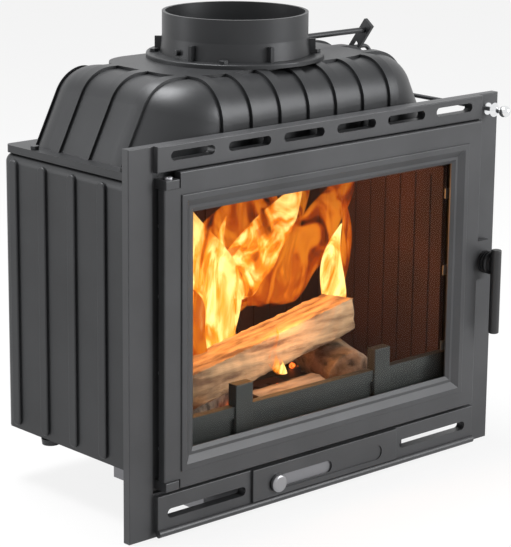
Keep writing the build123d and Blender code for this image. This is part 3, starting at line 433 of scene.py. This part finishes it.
# Flames: each one is a thin closed leaf that twists as it rises
def flame(name, foot, height, width, lean, twist, material):
    """Leaf of fire from its foot up, its width swelling and closing in a point."""
    built = bmesh.new()
    grid = []
    phase = random.random() * 6.28
    for r in range(FLAME_ROWS + 1):
        t = r / FLAME_ROWS
        spread = width * (math.sin(math.pi * min(t * 0.82 + 0.18, 1.0)) ** 0.8) * (1 - 0.25 * t)
        spread = max(spread, 0.0008)
        turn = twist * t + 0.3 * math.sin(phase + 5 * t)
        sway = FLAME_WAVE * math.sin(phase + 4.2 * t) * t
        centre = Vector((foot[0] + lean[0] * t + sway, foot[1] + lean[1] * t, foot[2] + height * t))
        ring = []
        for c in range(FLAME_SIDES):
            angle = 2 * math.pi * c / FLAME_SIDES
            across = Vector((math.cos(turn), math.sin(turn), 0)) * spread * math.cos(angle)
            deep = Vector((-math.sin(turn), math.cos(turn), 0)) * spread * FLAME_DEPTH * math.sin(angle)
            point = centre + across + deep
            ruffle = noise.noise(Vector((point.x * 22, point.y * 22, point.z * 12 + phase)))
            ring.append(built.verts.new(point + across.normalized() * ruffle * spread * 0.3))
        grid.append(ring)
    for lower, upper in zip(grid, grid[1:]):
        for c in range(FLAME_SIDES):
            d = (c + 1) % FLAME_SIDES
            built.faces.new((lower[c], lower[d], upper[d], upper[c]))
    built.faces.new(list(reversed(grid[0])))
    built.faces.new(grid[-1])
    mesh = bpy.data.meshes.new(name)
    built.to_mesh(mesh)
    built.free()
    for polygon in mesh.polygons:
        polygon.use_smooth = True
    obj = bpy.data.objects.new(name, mesh)
    scene.collection.objects.link(obj)
    finish_piece(obj, material, "casing")
    obj.visible_shadow = False


bright_fire = flame_material("bright_fire", 0.05, 0.36, 1.9, YELLOW, ORANGE, RED, 0.3)
deep_fire = flame_material("deep_fire", 0.05, 0.38, 0.85, ORANGE, DEEP_ORANGE, RED, 0.25)
# Foot, height, width, lean, twist and material of each flame
FLAMES = [
    ((-0.05, 0.03, 0.1), 0.2, 0.05, (-0.09, 0.0), 0.8, bright_fire),
    ((-0.04, 0.02, 0.1), 0.21, 0.045, (-0.04, 0.01), -0.7, bright_fire),
    ((-0.03, 0.03, 0.1), 0.18, 0.04, (0.01, 0.0), 1.0, bright_fire),
    ((-0.14, 0.05, 0.15), 0.12, 0.05, (-0.08, 0.0), 0.5, bright_fire),
    ((-0.2, 0.02, 0.15), 0.13, 0.035, (-0.03, 0.0), -0.5, deep_fire),
    ((0.0, 0.03, 0.16), 0.15, 0.045, (0.1, 0.0), -0.9, bright_fire),
    ((0.05, 0.05, 0.14), 0.17, 0.06, (0.1, 0.01), 0.6, deep_fire),
    ((0.09, 0.06, 0.13), 0.18, 0.055, (0.14, 0.0), -0.8, deep_fire),
    ((-0.02, 0.06, 0.18), 0.13, 0.05, (0.17, 0.0), 1.1, deep_fire),
    ((-0.09, 0.09, 0.1), 0.21, 0.07, (0.02, 0.0), 0.4, deep_fire),
    ((0.02, 0.09, 0.12), 0.2, 0.08, (0.08, 0.0), -0.5, deep_fire),
    ((0.17, 0.02, 0.08), 0.16, 0.022, (0.02, 0.0), -1.0, bright_fire),
    ((0.19, 0.05, 0.08), 0.19, 0.03, (0.05, 0.0), 0.8, deep_fire),
    ((-0.16, 0.0, 0.09), 0.1, 0.018, (-0.04, 0.0), 0.7, deep_fire),
    ((-0.1, -0.01, 0.1), 0.1, 0.016, (-0.03, 0.0), -0.7, deep_fire),
    ((0.0, -0.06, 0.07), 0.07, 0.014, (-0.03, 0.0), 0.9, bright_fire),
]
for i, (foot, height, width, lean, twist, material) in enumerate(FLAMES):
    flame("flame_%02d" % i, foot, height, width, lean, twist, material)


# Floor and backdrop
def stage_piece():
    """Pale floor under the whole of the view, mostly plain white to the camera."""
    mesh = bpy.data.meshes.new("floor")
    ground = cad_box[0][2] - 0.001
    signs = [(-1, -1), (1, -1), (1, 1), (-1, 1)]
    corners = [(x * FLOOR_HALF, y * FLOOR_HALF, ground) for x, y in signs]
    mesh.from_pydata(corners, [], [(0, 1, 2, 3)])
    floor = bpy.data.objects.new("floor", mesh)
    scene.collection.objects.link(floor)
    mat, nodes, links = new_material("floor")
    shader = nodes["Principled BSDF"]
    shader.inputs["Base Color"].default_value = (*FLOOR, 1)
    shader.inputs["Roughness"].default_value = 0.9
    glow = nodes.new("ShaderNodeEmission")
    share = nodes.new("ShaderNodeMath")
    share.operation = "MULTIPLY"
    share.inputs[1].default_value = FLOOR_GLOW
    mix = nodes.new("ShaderNodeMixShader")
    links.new(seen_rays(nodes, links), share.inputs[0])
    links.new(share.outputs["Value"], mix.inputs["Fac"])
    links.new(shader.outputs["BSDF"], mix.inputs[1])
    links.new(glow.outputs["Emission"], mix.inputs[2])
    links.new(mix.outputs["Shader"], nodes["Material Output"].inputs["Surface"])
    mesh.materials.append(mat)


def set_world(strength):
    """Even soft light, seen as white by the camera and by way of metal and glass."""
    world = bpy.data.worlds.new("studio")
    scene.world = world
    world.use_nodes = True
    nodes = world.node_tree.nodes
    links = world.node_tree.links
    soft = nodes["Background"]
    soft.inputs["Color"].default_value = (1, 1, 1, 1)
    soft.inputs["Strength"].default_value = strength
    white = nodes.new("ShaderNodeBackground")
    white.inputs["Color"].default_value = (1, 1, 1, 1)
    white.inputs["Strength"].default_value = 1.0
    mix = nodes.new("ShaderNodeMixShader")
    links.new(seen_rays(nodes, links), mix.inputs["Fac"])
    links.new(soft.outputs["Background"], mix.inputs[1])
    links.new(white.outputs["Background"], mix.inputs[2])
    links.new(mix.outputs["Shader"], nodes["World Output"].inputs["Surface"])


def softbox(name, place, aim, size, power):
    """Rectangular lamp at a place, turned towards its aim."""
    light = bpy.data.lights.new(name, "AREA")
    light.shape = "RECTANGLE"
    light.size, light.size_y = size
    light.energy = power
    obj = bpy.data.objects.new(name, light)
    obj.location = place
    obj.rotation_euler = (Vector(aim) - Vector(place)).to_track_quat("-Z", "Y").to_euler()
    scene.collection.objects.link(obj)


def fire_light(name, place, power):
    """Small warm lamp among the flames."""
    light = bpy.data.lights.new(name, "POINT")
    light.energy = power
    light.color = FIRE_COLOUR
    light.shadow_soft_size = 0.05
    obj = bpy.data.objects.new(name, light)
    obj.location = place
    scene.collection.objects.link(obj)


stage_piece()
set_world(WORLD_STRENGTH)
softbox("key", (1.9, -2.9, 1.5), (0, 0, 0.2), (1.5, 1.8), 105)
softbox("top", (-0.4, 0.5, 2.4), (0, 0, 0.3), (1.4, 0.9), 75)
softbox("left_edge", (-2.4, 1.9, 1.0), (0, 0, 0.2), (0.35, 2.0), 22)
fire_light("fire_left", (-0.12, 0.0, 0.22), 1.0)
fire_light("fire_right", (0.1, 0.0, 0.24), 1.0)
fire_light("fire_front", (0.0, -0.09, 0.17), 0.8)


def set_camera():
    """Camera at the photograph's viewing point."""
    camera = bpy.data.cameras.new("camera")
    camera.lens = CAMERA_LENS
    camera.sensor_width = SENSOR
    obj = bpy.data.objects.new("camera", camera)
    scene.collection.objects.link(obj)
    turn = math.radians(CAMERA_TURN)
    down = math.radians(CAMERA_DOWN)
    roll = math.radians(CAMERA_ROLL)
    level = math.cos(down)
    forward = Vector((math.sin(turn) * level, math.cos(turn) * level, -math.sin(down)))
    level_right = Vector((math.cos(turn), -math.sin(turn), 0))
    level_up = level_right.cross(forward)
    right = level_right * math.cos(roll) + level_up * math.sin(roll)
    up = right.cross(forward)
    pose = Matrix((right, up, -forward)).transposed().to_4x4()
    obj.matrix_world = Matrix.Translation(CAMERA_PLACE) @ pose
    scene.camera = obj


set_camera()
scene.view_settings.view_transform = "Standard"
